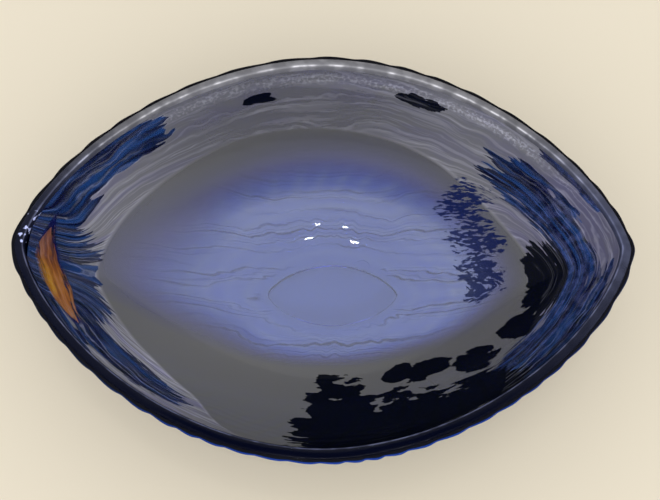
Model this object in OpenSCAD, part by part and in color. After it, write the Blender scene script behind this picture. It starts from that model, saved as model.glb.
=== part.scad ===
// Almond-shaped bowl of cased glass, blown in layers and drawn out to two blunt tips.
// A clear lining is smooth inside, a cobalt casing is ribbed outside and keeps a thin edge of
// its own round the lip, an amber streak lies between them at one tip, a smooth bead that
// slopes outwards runs round the lip inside that edge and a ground pad carries it all.
// Origin: on the table, under the middle of the bowl. +X is the long way, +Z is up.

/* [Bowl] */
// Length from tip to tip, over the ribs
bowl_length = 305; // [240:1:380]
// Width across the middle, over the ribs
bowl_width = 210; // [160:1:260]
// Height from the table to the top of the lip bead
bowl_height = 85; // [65:1:120]
// Fullness of the long sides, where a lower value makes a slimmer almond
side_power = 1.9; // [1.6:0.05:2.4]
// Sharpness of the two tips, where 0.5 is an ellipse and 0.9 is a leaf
tip_power = 0.69; // [0.5:0.01:0.9]
// How far the -X tip swings over towards +Y
tip_sway = 2.5; // [-6:0.5:6]
// How far the wall has turned up by the lip, in degrees
wall_turn = 72; // [50:1:80]

/* [Glass layers] */
// Thickness of the clear lining at the lip, measured level
lining_wall = 2.6; // [1.5:0.1:8]
// Thickness of the clear lining over the foot
lining_floor = 7; // [4:0.1:12]
// Thickness of the cobalt casing at the lip, measured level in the grooves
casing_wall = 4.2; // [1.5:0.1:7]
// Thickness of the cobalt casing over the foot
casing_floor = 1; // [0.6:0.1:8]

/* [Foot pad] */
// Length of the flat that the bowl stands on
foot_length = 70; // [50:1:110]
// Width of the flat that the bowl stands on
foot_width = 34; // [24:1:80]
// Height of the pad
foot_height = 3; // [1.5:0.1:8]
// How far the foot lies off the middle, towards +X
foot_shift = 5; // [-12:0.5:12]

/* [Ribs] */
// Number of ribs round the outside
rib_count = 46; // [24:1:60]
// Height of a rib above its grooves
rib_depth = 2.4; // [0.4:0.1:4]
// How many rib widths a rib leans over on its way from foot to lip
rib_lean = 5; // [0:0.5:8]
// Where a rib's crest lies across its width, 0.5 being the middle
rib_crest = 0.64; // [0.3:0.01:0.8]
// How unevenly the ribs are spaced and raised, from 0 for none
rib_unevenness = 0.35; // [0:0.05:0.6]
// How much closer the ribs lie on the -Y side than on the other, from 0 for none
rib_bunching = 0.25; // [0:0.01:0.4]

/* [Lip] */
// Height of the bead's crown on top of the wall
lip_height = 4.5; // [2:0.1:9]
// How far the crown lies outside the bead's inner face
lip_crown = 1.3; // [0.4:0.1:2.4]
// Width of the casing's own edge outside the bead, measured level in the grooves
edge_width = 1.5; // [0.6:0.1:3]
// Height of the casing's own edge on top of the wall
edge_height = 1.6; // [0.6:0.1:4]

/* [Amber streak] */
// Length of the streak round the wall
streak_length = 74; // [40:1:120]
// Where the middle of the streak lies, in degrees round from +X
streak_angle = 190; // [150:1:230]
// Height of the streak's lower edge on the wall, in degrees of turn
streak_low = 53; // [40:1:56]
// Height of the streak's upper edge on the wall, in degrees of turn
streak_high = 67; // [62:1:70]
// Thickness at the middle of the streak
streak_thickness = 1.6; // [0.8:0.1:2.2]

/* [Hidden] */
// Points across one rib, and how many of them pass for one point of the smooth layers
RIB_POINTS = 5;
SKIP = 2;
// Rings of the ribbed outside, from the foot to the lip
OUTER_RINGS = 10;
// Rings below the streak, across it, and inside the bowl
LOW_RINGS = 4;
STREAK_RINGS = 4;
INNER_RINGS = 8;
// Shares of the wall's turn at which the ribs begin, stand full and start to run out
RIB_START = 0.3;
RIB_FULL = 0.75;
RIB_FALL = 0.85;
// Share of their height that the ribs keep where they meet the lip
RIB_END = 0.35;
// How softly the grooves are rounded, where 1 leaves them sharp
RIB_SOFTNESS = 1.4;
// Steps round the almond that its length is measured in
MEASURE_STEPS = 360;
// Angles of the section of the casing's edge, up to where it meets the bead
EDGE_ANGLES = [45, 90];
// Angles of the bead's section, from its crown down to its inner seat
CROWN_ANGLES = [90, 45, 0];

smooth_count = round(rib_count * RIB_POINTS / SKIP);
fine_count = SKIP * smooth_count;

seat_z = bowl_height - lip_height;
wall_total = lining_wall + casing_wall;

// How far the ribs stand out past the grooves at the lip
overhang = rib_depth * RIB_END;

// Half length and half width of the grooves' outline at the seat of the lip, and of the foot
seat_half = [bowl_length / 2 - overhang, bowl_width / 2 - overhang];
foot_half = [foot_length / 2, foot_width / 2];

// Levels of the three surfaces over the foot
casing_base = foot_height;
casing_top = foot_height + casing_floor;
floor_z = casing_top + lining_floor;

// ---- the almond outline ----

function almond_y(t) = sign(sin(t)) * pow(max(0, 1 - pow(abs(cos(t)), side_power)), tip_power);
function sway(t) = tip_sway * pow(max(0, -cos(t)), 3);
function almond(t, half) = [half.x * cos(t), half.y * (almond_y(t) + sway(t) / seat_half.y)];

// Distance run round the almond at the lip, against the angle reached
run_table = [
    for (
        i = 0, run = 0;
        i <= MEASURE_STEPS;
        run = run + norm(almond((i + 1) * 360 / MEASURE_STEPS, seat_half)
                       - almond(i * 360 / MEASURE_STEPS, seat_half)),
        i = i + 1
    )
    [run, i * 360 / MEASURE_STEPS]
];
run_total = run_table[MEASURE_STEPS][0];

// Angle of the point that lies at a share of the way round, measured along the lip
function part_of(x) = x - floor(x);
function angle_at(share) = lookup(part_of(share) * run_total, run_table);

// The smooth layers have their points under those of the ribs at the lip
smooth_shares = [for (i = [0 : smooth_count - 1]) part_of(rib_share(SKIP * i, wall_turn))];
smooth_angles = [for (share = smooth_shares) angle_at(share)];

// Direction square to the almond, in plan, at a share of the way round
function plan_normal(share, half) =
    let (
        step = 0.5 / fine_count,
        along = almond(angle_at(share + step), half) - almond(angle_at(share - step), half)
    )
    [along.y, -along.x] / norm(along);

// ---- the wall's section ----

// The wall is an arc drawn out of square, and turn runs along it from 0 at the foot
function travel(turn) = sin(turn) / sin(wall_turn);
function climb(turn) = (1 - cos(turn)) / (1 - cos(wall_turn));
function half_at(turn, inset) = foot_half + (seat_half - [inset, inset] - foot_half) * travel(turn);
function level_at(turn, base) = base + (seat_z - base) * climb(turn);
function shift_at(turn) = foot_shift * (1 - travel(turn));

// How steep the outside is, midway between the sides and the tips
function steepness(turn) =
    let (
        rise = (seat_z - casing_base) * sin(turn) / (1 - cos(wall_turn)),
        reach = (seat_half.x - foot_half.x + seat_half.y - foot_half.y) / 2,
        out = reach * cos(turn) / sin(wall_turn)
    )
    atan2(rise, out);

// ---- the ribs ----

function rib_shape(x) = x < rib_crest
    ? sin(90 * x / rib_crest)
    : cos(90 * (x - rib_crest) / (1 - rib_crest));

// Points lie on the same line of every rib all the way up, so the rings lean with the ribs
function rib_share(i, turn) =
    let (
        even = i / fine_count,
        bunched = even - rib_bunching * sin(360 * (even - 0.75)) / (2 * PI),
        uneven = rib_unevenness * (sin(3 * 360 * even + 40) + sin(7 * 360 * even)) / 2
    )
    bunched + (uneven + rib_lean * (1 - travel(turn))) / rib_count;
function rib_height(i) =
    let (strength = 1 - rib_unevenness * (0.5 + 0.5 * sin(5 * 360 * i / fine_count + 250)))
    strength * pow(max(0, rib_shape(part_of(i * rib_count / fine_count))), RIB_SOFTNESS);

// The ribs rise softly some way above the foot, and run out a little before the lip
function ease(x) = x <= 0 ? 0 : x >= 1 ? 1 : x * x * (3 - 2 * x);
function rib_fade(turn) =
    let (way = turn / wall_turn)
    ease((way - RIB_START) / (RIB_FULL - RIB_START))
        * (1 - (1 - RIB_END) * max(0, way - RIB_FALL) / (1 - RIB_FALL));

// ---- the surfaces ----

function outer_point(i, turn) =
    let (
        half = half_at(turn, 0),
        share = rib_share(i, turn),
        flat = almond(angle_at(share), half),
        out = plan_normal(share, half),
        raised = rib_depth * rib_fade(turn) * rib_height(i),
        steep = steepness(turn),
        sideways = raised * sin(steep)
    )
    [
        flat.x + shift_at(turn) + out.x * sideways,
        flat.y + out.y * sideways,
        level_at(turn, casing_base) - raised * cos(steep)
    ];

function smooth_point(i, turn, inset, base) =
    let (flat = almond(smooth_angles[i % smooth_count], half_at(turn, inset)))
    [flat.x + shift_at(turn), flat.y, level_at(turn, base)];

function casing_inside(i, turn) = smooth_point(i, turn, casing_wall, casing_top);
function lining_inside(i, turn) = smooth_point(i, turn, wall_total, floor_z);

// The streak pushes the lining inwards, most at its middle and not at all at its edge
function streak_swell(i, turn) =
    let (
        middle = lookup(streak_angle, [for (r = run_table) [r[1], r[0]]]),
        along = 2 * (smooth_shares[i % smooth_count] * run_total - middle) / streak_length,
        across = 2 * (turn - streak_low) / (streak_high - streak_low) - 1
    )
    abs(along) >= 1 || abs(across) >= 0.99 ? 0 : (1 - along * along) * (1 - across * across);

function lining_outside(i, turn) =
    let (
        skin = casing_inside(i, turn),
        inward = lining_inside(i, turn) - skin
    )
    skin + inward / norm(inward) * streak_thickness * streak_swell(i, turn);

// The casing's own edge, from the ribs over to where it meets the bead at 90 degrees
function edge_point(i, s) =
    let (
        foot = outer_point(i, wall_turn),
        top = lip_point(i, [edge_width, edge_height])
    )
    [
        top.x + (foot.x - top.x) * cos(s),
        top.y + (foot.y - top.y) * cos(s),
        foot.z + (top.z - foot.z) * sin(s)
    ];

outer_turns = [for (k = [0 : OUTER_RINGS - 1]) wall_turn * k / (OUTER_RINGS - 1)];
inner_turns = [for (k = [0 : INNER_RINGS - 1]) wall_turn * k / (INNER_RINGS - 1)];
seam_turns = [
    for (k = [0 : LOW_RINGS - 1]) streak_low * k / LOW_RINGS,
    for (k = [0 : STREAK_RINGS - 1])
        streak_low + (streak_high - streak_low) * k / (STREAK_RINGS - 1),
    wall_turn
];

// ---- shells out of rings of points ----

// Faces between neighbouring rings of n points, numbered from first
function band_faces(n, rings, first, inward) = [
    for (k = [0 : rings - 2], i = [0 : n - 1])
        let (
            a = first + k * n + i,
            b = first + k * n + (i + 1) % n,
            c = b + n,
            d = a + n
        )
        each inward ? [[a, b, c], [a, c, d]] : [[a, c, b], [a, d, c]]
];
function disc_face(n, first, up) = [for (i = [0 : n - 1]) first + (up ? n - 1 - i : i)];

// Flat ring between an outer ring of n * skip points and an inner ring of n
function rim_faces(n, skip, outer, inner) = [
    for (i = [0 : n - 1])
        let (next = (i + 1) % n)
        each [
            for (j = [0 : skip - 1])
                [inner + i, outer + (skip * i + j + 1) % (n * skip), outer + skip * i + j],
            [inner + i, inner + next, outer + (skip * (i + 1)) % (n * skip)]
        ]
];

// ---- the pieces ----

// Pad that the bowl stands on, ground flat underneath
module foot_pad() {
    color("midnightblue")
    translate([foot_shift, 0, 0])
    linear_extrude(foot_height)
    polygon([for (t = smooth_angles) almond(t, foot_half)]);
}

// Outer gather, ribbed outside, with its own edge round the lip
module cobalt_casing() {
    outside = [
        for (turn = outer_turns, i = [0 : fine_count - 1]) outer_point(i, turn),
        for (s = EDGE_ANGLES, i = [0 : fine_count - 1]) edge_point(i, s),
        for (i = [0 : fine_count - 1]) lip_point(i, [edge_width, 0])
    ];
    outside_rings = OUTER_RINGS + len(EDGE_ANGLES) + 1;
    inside = [for (turn = seam_turns, i = [0 : smooth_count - 1]) casing_inside(i, turn)];
    first_inside = len(outside);
    top_outside = fine_count * (outside_rings - 1);
    top_inside = first_inside + smooth_count * (len(seam_turns) - 1);
    color("mediumblue")
    polyhedron(
        points = concat(outside, inside),
        faces = concat(
            band_faces(fine_count, outside_rings, 0, false),
            band_faces(smooth_count, len(seam_turns), first_inside, true),
            rim_faces(smooth_count, SKIP, top_outside, top_inside),
            [disc_face(fine_count, 0, false), disc_face(smooth_count, first_inside, true)]
        )
    );
}

// Patch of amber glass caught between the two gathers at the -X tip
module amber_streak() {
    first_ring = LOW_RINGS;
    cells = [
        for (k = [first_ring : first_ring + STREAK_RINGS - 2], i = [0 : smooth_count - 1])
            if (max([for (dk = [0, 1], di = [0, 1])
                streak_swell(i + di, seam_turns[k + dk])]) > 0) [i, k]
    ];
    corners = [for (c = cells) each [
        casing_inside(c[0], seam_turns[c[1]]),
        casing_inside(c[0] + 1, seam_turns[c[1]]),
        casing_inside(c[0] + 1, seam_turns[c[1] + 1]),
        casing_inside(c[0], seam_turns[c[1] + 1]),
        lining_outside(c[0], seam_turns[c[1]]),
        lining_outside(c[0] + 1, seam_turns[c[1]]),
        lining_outside(c[0] + 1, seam_turns[c[1] + 1]),
        lining_outside(c[0], seam_turns[c[1] + 1])
    ]];
    function raised(f) = max([for (p = f) norm(corners[p] - corners[p - 4])]) > 0;
    color("darkorange")
    polyhedron(
        points = corners,
        faces = [for (n = [0 : len(cells) - 1]) let (a = 8 * n) each [
            if (raised([a + 4, a + 5, a + 6])) each [[a, a + 2, a + 1], [a + 4, a + 5, a + 6]],
            if (raised([a + 4, a + 6, a + 7])) each [[a, a + 3, a + 2], [a + 4, a + 6, a + 7]]
        ]]
    );
}

// Inner gather, smooth inside
module clear_lining() {
    outside = [for (turn = seam_turns, i = [0 : smooth_count - 1]) lining_outside(i, turn)];
    inside = [for (turn = inner_turns, i = [0 : smooth_count - 1]) lining_inside(i, turn)];
    first_inside = len(outside);
    top_outside = smooth_count * (len(seam_turns) - 1);
    top_inside = first_inside + smooth_count * (INNER_RINGS - 1);
    color("lightsteelblue", 0.8)
    polyhedron(
        points = concat(outside, inside),
        faces = concat(
            band_faces(smooth_count, len(seam_turns), 0, false),
            band_faces(smooth_count, INNER_RINGS, first_inside, true),
            rim_faces(smooth_count, 1, top_outside, top_inside),
            [disc_face(smooth_count, 0, false), disc_face(smooth_count, first_inside, true)]
        )
    );
}

// Corners of the bead's section, as distance in from the grooves and height over the seat:
// up the casing's edge, along the slope to the crown and round it to the inner seat
lip_section = [
    [edge_width, 0],
    [edge_width, edge_height],
    for (a = CROWN_ANGLES) [wall_total - lip_crown * (1 - cos(a)), lip_height * sin(a)]
];
function lip_point(i, corner) =
    let (half = seat_half - [corner.x, corner.x])
    concat(almond(angle_at(rib_share(i, wall_turn)), half), seat_z + corner.y);

// Bead of clear glass round the lip, on both gathers and inside the casing's edge
module lip_bead() {
    rings = len(lip_section);
    last_ring = fine_count * (rings - 1);
    color("slategray")
    polyhedron(
        points = [for (corner = lip_section, i = [0 : fine_count - 1]) lip_point(i, corner)],
        faces = concat(
            band_faces(fine_count, rings, 0, false),
            [for (i = [0 : fine_count - 1])
                let (next = (i + 1) % fine_count)
                each [
                    [i, next, last_ring + next],
                    [i, last_ring + next, last_ring + i]
                ]]
        )
    );
}

foot_pad();
cobalt_casing();
amber_streak();
clear_lining();
lip_bead();
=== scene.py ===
"""Cased art glass bowl: an almond of cobalt glass lined with clear glass, with a bead lip and a pad foot."""

import math

import bpy
import numpy as np
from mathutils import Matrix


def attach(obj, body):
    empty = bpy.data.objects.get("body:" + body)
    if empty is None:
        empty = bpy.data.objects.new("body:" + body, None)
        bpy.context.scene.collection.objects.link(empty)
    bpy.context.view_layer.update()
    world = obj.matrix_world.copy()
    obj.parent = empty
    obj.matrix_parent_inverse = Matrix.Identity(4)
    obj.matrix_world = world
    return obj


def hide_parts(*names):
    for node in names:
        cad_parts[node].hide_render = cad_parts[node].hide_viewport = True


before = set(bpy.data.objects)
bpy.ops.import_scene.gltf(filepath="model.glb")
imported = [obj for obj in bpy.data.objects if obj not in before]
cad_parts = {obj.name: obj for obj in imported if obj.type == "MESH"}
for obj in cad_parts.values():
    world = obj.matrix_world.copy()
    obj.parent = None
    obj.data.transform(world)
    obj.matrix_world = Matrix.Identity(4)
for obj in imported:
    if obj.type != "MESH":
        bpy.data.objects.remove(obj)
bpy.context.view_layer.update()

MM = 0.001
ROOT = "root"

# ---- Sizes, in millimetres and degrees -----------------------------------------------------------

LENGTH, WIDTH, HEIGHT = 305, 210, 85
SIDE_POWER, TIP_POWER, TIP_SWAY = 1.9, 0.69, 2.5     # the almond's fullness, and the lean of its left tip
WALL_TURN = 72                          # the wall's profile turns this far from the foot to the lip
LINING_WALL, LINING_FLOOR = 2.6, 7
CASING_WALL, CASING_FLOOR = 4.2, 1
FOOT_HALF = np.array([35, 17])
FOOT_HEIGHT, FOOT_SHIFT = 3, 5
RIBS, RIB_DEPTH, RIB_LEAN, RIB_CREST, RIB_SOFTNESS = 46, 2.4, 5, 0.64, 1.4
RIB_UNEVENNESS, RIB_BUNCHING = 0.35, 0.25
# Shares of the wall's turn where the ribs begin, stand full and start to run out, and what is left at the lip
RIB_START, RIB_FULL, RIB_FALL, RIB_END = 0.3, 0.75, 0.85, 0.35
LIP_HEIGHT, LIP_CROWN = 4.5, 1.3        # the bead's crown, and how far it lies from the inner face
EDGE_WIDTH, EDGE_HEIGHT = 1.5, 1.6      # the casing's own edge, outside the bead
EDGE_FULLNESS = 0.8                     # below 1, the edge's section is fuller than an ellipse
STREAK_LENGTH, STREAK_ANGLE, STREAK_LOW, STREAK_HIGH, STREAK_THICKNESS = 74, 190, 53, 67, 1.6

WALL = LINING_WALL + CASING_WALL
SEAT_Z = HEIGHT - LIP_HEIGHT
CASING_TOP = FOOT_HEIGHT + CASING_FLOOR
FLOOR_Z = CASING_TOP + LINING_FLOOR
OVERHANG = RIB_DEPTH * RIB_END
SEAT_HALF = np.array([LENGTH / 2 - OVERHANG, WIDTH / 2 - OVERHANG])
SEAM = 0.06             # left between two fused skins, so that neither cuts the other
FLOOR_THICK = 0.23      # the casing is blown this thin under the floor
WINDOW_MARGIN = 3       # degrees of turn from the window's listed edge to the full wall
WINDOW_BEND = 1.5       # above 1, the casing thickens later past its window
# Share of the window's height at which it starts to fade, and how much sooner it does at the left tip
WINDOW_FADE, TIP_FADE = 0.5, 0.28

# The drawn lines: how far they swerve past the foot, how softly they part, and their millimetres per degree
FLOW_SWERVE, FLOW_PARTING, LINE_RISE = 0.62, 3, 1.6
RIM_LINES_RISE = (40, 58)               # degrees of turn between which they come to follow the rim
# Drawn ridges on the outside: distance apart of the broad and the fine ones, and heights
FOLD_PITCH, FINE_PITCH = 5.5, 2.3
FOLD_HEIGHT, FINE_HEIGHT, KNOCK_HEIGHT = 0.30, 0.10, 0.30
# Waves of the lining under the rim, and of the bead
WAVE_PITCH, WAVE_HEIGHT, BEAD_WAVE_HEIGHT = 7.0, 0.12, 0.25
# Degrees of turn between which each of them rises and calms down again
RIDGES_RISE, KNOCKS_RISE, RIDGES_CALM = (3, 14), (30, 60), (66, 71.5)
WAVES_RISE, WAVES_CALM = (44, 54), (69, 71.9)
# Unevenness: cells round and up the bowl, and a seed; the lines' wander has its millimetres first
WANDER = [(3.2, (24, 5), 3), (1.3, (70, 16), 4), (0.5, (160, 40), 5)]
PATCHES, KNOCKS, RIM_WAVES, BEAD_WAVES = ((30, 8), 7), ((90, 22), 8), ((30, 10), 21), ((52, 2), 11)

# Sines and cosines of the way round between which the far side and the two tips begin
FAR_SIDE, RIGHT_TIP, LEFT_TIP = (0.1, 0.7), (0.8, 1), (0.6, 1)


def sine(angle):
    return np.sin(np.radians(angle))


def cosine(angle):
    return np.cos(np.radians(angle))


# ---- The almond plan and the profile of the wall -------------------------------------------------

def unit_almond(angle):
    """Plan of the bowl, 1 long and 1 wide each way, leaning a little at the left tip"""
    side = np.sign(sine(angle)) * np.maximum(0, 1 - np.abs(cosine(angle)) ** SIDE_POWER) ** TIP_POWER
    sway = TIP_SWAY / SEAT_HALF[1] * np.maximum(0, -cosine(angle)) ** 3
    return np.stack([cosine(angle), side + sway], axis=-1)


ANGLES = np.linspace(0, 360, 361)
RUN = np.append(0, np.cumsum(np.linalg.norm(np.diff(unit_almond(ANGLES) * SEAT_HALF, axis=0), axis=1)))


def angle_at(share):
    """Angle of the almond at a share of the way round it"""
    return np.interp(share % 1 * RUN[-1], RUN, ANGLES)


def travel(turn):
    """How far out from the foot the wall has come, from 0 to 1 at the lip"""
    return sine(turn) / sine(WALL_TURN)


def climb(turn):
    """How far up the wall has come, from 0 to 1 at the lip"""
    return (1 - cosine(turn)) / (1 - cosine(WALL_TURN))


def half_at(turn, inset=0.0):
    """Half length and half width of the wall where its profile has turned so far"""
    return FOOT_HALF + (SEAT_HALF - inset - FOOT_HALF) * np.asarray(travel(turn))[..., None]


def level_at(turn, base):
    return base + (SEAT_Z - base) * climb(turn)


def shift_at(turn):
    return FOOT_SHIFT * (1 - travel(turn))


REACH = (SEAT_HALF - FOOT_HALF).sum() / 2


def steepness(turn):
    """Slope of the wall in degrees"""
    rise = (SEAT_Z - FOOT_HEIGHT) * sine(turn) / (1 - cosine(WALL_TURN))
    return np.degrees(np.arctan2(rise, REACH * cosine(turn) / sine(WALL_TURN)))


def plan(share, half):
    return unit_almond(angle_at(share)) * half


def plan_normal(share, half):
    along = plan(share + 0.002, half) - plan(share - 0.002, half)
    return np.stack([along[..., 1], -along[..., 0]], -1) / np.linalg.norm(along, axis=-1, keepdims=True)


def smooth_skin(share, turn, inset, base):
    """Places on a skin without ribs: inset from the grooves at the lip, and base high over the foot"""
    flat = plan(share, half_at(turn, inset))
    return np.stack([flat[..., 0] + shift_at(turn), flat[..., 1], level_at(turn, base)], -1)


# ---- Ribs, ripples and the streak ----------------------------------------------------------------

def rib_share(even, turn):
    """Share of the way round of an evenly counted place on the ribs, which lean, bunch and vary"""
    bunched = even - RIB_BUNCHING * sine(360 * (even - 0.75)) / (2 * math.pi)
    uneven = RIB_UNEVENNESS * (sine(3 * 360 * even + 40) + sine(7 * 360 * even)) / 2
    return bunched + (uneven + RIB_LEAN * (1 - travel(turn))) / RIBS


def rib_height(even):
    strength = 1 - RIB_UNEVENNESS * (0.5 + 0.5 * sine(5 * 360 * even + 250))
    x = even * RIBS % 1
    shape = np.where(x < RIB_CREST, sine(90 * x / RIB_CREST), cosine(90 * (x - RIB_CREST) / (1 - RIB_CREST)))
    return strength * np.maximum(0, shape) ** RIB_SOFTNESS


def rib_fade(turn):
    way = turn / WALL_TURN
    falling = 1 - (1 - RIB_END) * (way - RIB_FALL) / (1 - RIB_FALL)
    return ease(RIB_START, RIB_FULL, way) * np.where(way < RIB_FALL, 1, falling)


def ease(low, high, value):
    """0 below low, 1 above high and smooth between them"""
    x = np.clip((value - low) / (high - low), 0, 1)
    return x * x * (3 - 2 * x)


def mottle(share, rise, cells, seed):
    """Smooth unevenness that closes on itself round the bowl, from -1 to 1; rise runs from 0 to 1 upwards"""
    grid = np.random.default_rng(seed).uniform(-1, 1, cells)
    x, y = share % 1 * cells[0], rise % 1 * cells[1]
    i, j = np.floor(x).astype(int), np.floor(y).astype(int)
    u, v = ease(0, 1, x - i), ease(0, 1, y - j)
    i, i2, j, j2 = i % cells[0], (i + 1) % cells[0], j % cells[1], (j + 1) % cells[1]
    return (grid[i, j] * (1 - u) * (1 - v) + grid[i2, j] * u * (1 - v)
            + grid[i, j2] * (1 - u) * v + grid[i2, j2] * u * v)


def grain(share, turn, spot):
    """Millimetres across the drawn lines of the glass: they flow past the foot and follow the rim"""
    x, y = spot[..., 0] - FOOT_SHIFT, spot[..., 1]
    past = 1 / np.maximum(1, (x / (FOOT_HALF[0] + 1)) ** 2 + (y / (FOOT_HALF[1] + 1)) ** 2)
    flow = np.sqrt(y ** 2 + FLOW_PARTING ** 2) * (1 - FLOW_SWERVE * past)
    off_left_tip = np.maximum(ease(0, 25, np.abs(y)), ease(-30, 30, x))
    rim_share = ease(*RIM_LINES_RISE, turn) * off_left_tip
    wander = sum(size * mottle(share, turn / 90, cells, seed) for size, cells, seed in WANDER)
    return flow + (LINE_RISE * turn - flow) * rim_share + wander


def ripple(share, turn, spot):
    """Height of the drawn ridges on the outside, in millimetres"""
    lines = grain(share, turn, spot)
    fold = 1 - np.abs(2 * (lines / FOLD_PITCH % 1) - 1)
    fine = 1 - np.abs(2 * (lines / FINE_PITCH % 1) - 1)
    patch = 0.5 + 0.5 * mottle(share, turn / 90, *PATCHES)
    knocks = KNOCK_HEIGHT * mottle(share, turn / 90, *KNOCKS) * ease(*KNOCKS_RISE, turn)
    ridges = FOLD_HEIGHT * fold ** 2 * patch + FINE_HEIGHT * fine * (1 - patch)
    return (ridges + knocks) * ease(*RIDGES_RISE, turn)


def streak_swell(share, turn):
    """Share of the streak's thickness: 1 at its middle, 0 at its edge"""
    middle = np.interp(STREAK_ANGLE, ANGLES, RUN)
    along = 2 * (share * RUN[-1] - middle) / STREAK_LENGTH
    across = 2 * (turn - STREAK_LOW) / (STREAK_HIGH - STREAK_LOW) - 1
    swell = (1 - along ** 2) * (1 - across ** 2)
    return np.where((np.abs(along) < 1) & (np.abs(across) < 1), swell, 0)


# Painted dark reflections, where the painted veil inside is left off and the deep glass shows, each as share
# of the way round, turn, and how far it reaches round and up from there: black, navy, and in short dark
# strokes
DARK_REFLECTIONS = [
    (0.762, 48.5, 0.037, 27), (0.825, 54, 0.036, 20), (0.865, 60, 0.036, 16), (0.835, 26.5, 0.02, 3.5),
    (0.866, 30, 0.026, 4.5), (0.9, 39, 0.018, 6.5), (0.805, 58, 0.075, 15), (0.994, 44, 0.038, 7),
    (0.947, 43, 0.016, 6), (0.297, 63, 0.013, 2.1), (0.178, 65.4, 0.018, 2.5)]
NAVY_REFLECTIONS = [
    (0.93, 61, 0.065, 13), (0.06, 56, 0.056, 8), (0.003, 55.5, 0.045, 7.5), (0.418, 67, 0.05, 7),
    (0.512, 55.5, 0.042, 10), (0.475, 63, 0.04, 6.5), (0.595, 60, 0.055, 7.5), (0.5, 71, 0.09, 4.5),
    (0.06, 71.5, 0.03, 2.5)]
STROKED_REFLECTIONS = [(0.105, 38, 0.026, 10), (0.065, 31, 0.032, 9.5), (0.02, 25, 0.035, 7.5), (0.99, 23, 0.018, 4.5)]
# Painted white glints on the bead at the left tip
PAINTED_GLINT_SPOTS = [(0.484, WALL_TURN, 0.017, 10)]


def inside(regions, share, turn):
    """1 in the middle of a region, 0 at its edge and less outside"""
    depth = np.full(np.shape(share), -1.0)
    for middle, level, length, height in regions:
        away = np.abs(share - middle) % 1
        away = np.minimum(away, 1 - away)
        depth = np.maximum(depth, 1 - (away / length) ** 3 - (np.abs(turn - level) / height) ** 3)
    return depth


# The amber's middle line along the streak: share of the way round, and turn
AMBER_PATH = np.array([
    (0.470, 68), (0.484, 65.5), (0.494, 63), (0.507, 61.7), (0.522, 62.0), (0.536, 62.8), (0.549, 63.4),
    (0.566, 64.5), (0.580, 66)]).T
# Half the amber's width in degrees of turn, against the place along it
AMBER_REACH = np.array([(-1, 3.2), (-0.4, 4.6), (0.2, 6.0), (1, 3.4)]).T


def amber_place(share, turn):
    """Where a point lies along the amber, from -1 to 1, and across it"""
    along = (share * RUN[-1] - np.interp(STREAK_ANGLE, ANGLES, RUN)) / (STREAK_LENGTH / 2)
    across = (turn - np.interp(share, *AMBER_PATH)) / np.interp(along, *AMBER_REACH)
    return along, across


def amber_depth(share, turn):
    """1 along the amber's middle line, 0 past its edge"""
    along, across = amber_place(share, turn)
    return np.where(np.abs(along) < 1, np.maximum(0, 1 - across ** 2 - 0.7 * np.abs(along) ** 4), 0)


# Round the bowl, each as share of the way round and value.
# How far up the wall the thin blue window of the casing reaches, in degrees of turn
WINDOW = [
    (-0.05, 29), (0.02, 36), (0.14, 43.5), (0.19, 45.5), (0.25, 45), (0.31, 44.5), (0.36, 43), (0.40, 45),
    (0.46, 52), (0.50, 51), (0.535, 37.5), (0.58, 26), (0.65, 19), (0.75, 14.5), (0.86, 18)]
# The turn at which the plain painted veil ends and the painted streaks of reflected light begin
BROW = [
    (0.02, 40), (0.065, 40.3), (0.105, 42), (0.145, 45.5), (0.19, 47.5), (0.25, 48.5), (0.32, 50),
    (0.40, 48.3), (0.44, 47.6), (0.49, 45.7), (0.54, 45.2), (0.60, 46.6), (0.65, 51), (0.686, 66),
    (0.72, 76), (0.86, 76), (0.90, 52), (0.95, 46)]
# How dense the plain painted reflection veil is
PAINTED_VEIL_DENSITY = [
    (0.1, 1.0), (0.25, 0.86), (0.34, 0.95), (0.44, 1.15), (0.5, 1.22), (0.58, 1.32), (0.66, 1.25),
    (0.75, 1.18), (0.9, 1.05)]
# How brightly the painted reflection shows on the bead
LIT = [
    (0.0, 0.35), (0.08, 0.6), (0.16, 1.0), (0.36, 1.0), (0.43, 0.3), (0.47, 0.04), (0.55, 0.0), (0.9, 0.0),
    (0.96, 0.12)]
# How brightly the painted sheen and the painted streaks of reflected light show up the wall
SHEEN = [
    (0.0, 0.4), (0.05, 0.6), (0.12, 1.3), (0.2, 0.4), (0.3, 0.1), (0.38, 0.4), (0.43, 1.0), (0.47, 1.0),
    (0.49, 0.6), (0.55, 0.5), (0.59, 1.15), (0.65, 1.6), (0.69, 0.3), (0.72, 0.0), (0.9, 0.0), (0.96, 0.3)]
# How much painted blue light shows on the casing's edge
BLUE = [
    (0.0, 0.25), (0.06, 0.05), (0.2, 0.0), (0.42, 0.0), (0.5, 0.06), (0.6, 0.3), (0.66, 0.8), (0.75, 1.0),
    (0.86, 0.9), (0.93, 0.4)]


def around(table, share, spread=0.015):
    """A value listed round the bowl, smoothed a little"""
    share_of, value = np.array(table).T
    return sum(np.interp(share + step * spread, share_of, value, period=1) for step in (-2, -1, 0, 1, 2)) / 5


def rising(share, turn):
    """0 over the thin window and 1 up the thick wall, with a softer passage at the left tip"""
    high = around(WINDOW, share) + WINDOW_MARGIN
    low = high * (WINDOW_FADE - TIP_FADE * ease(*LEFT_TIP, -cosine(360 * share)))
    return np.clip((turn - low) / (high - low), 0, 1)


def seam_skin(share, turn):
    """Where the casing and the lining are fused"""
    outside = smooth_skin(share, turn, 0, FOOT_HEIGHT)
    across = smooth_skin(share, turn, CASING_WALL, CASING_TOP) - outside
    full = np.linalg.norm(across, axis=-1)
    thick = FLOOR_THICK + (full - FLOOR_THICK) * ease(0, 1, rising(share, turn)) ** WINDOW_BEND
    return outside + across * (thick / full)[..., None]


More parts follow.
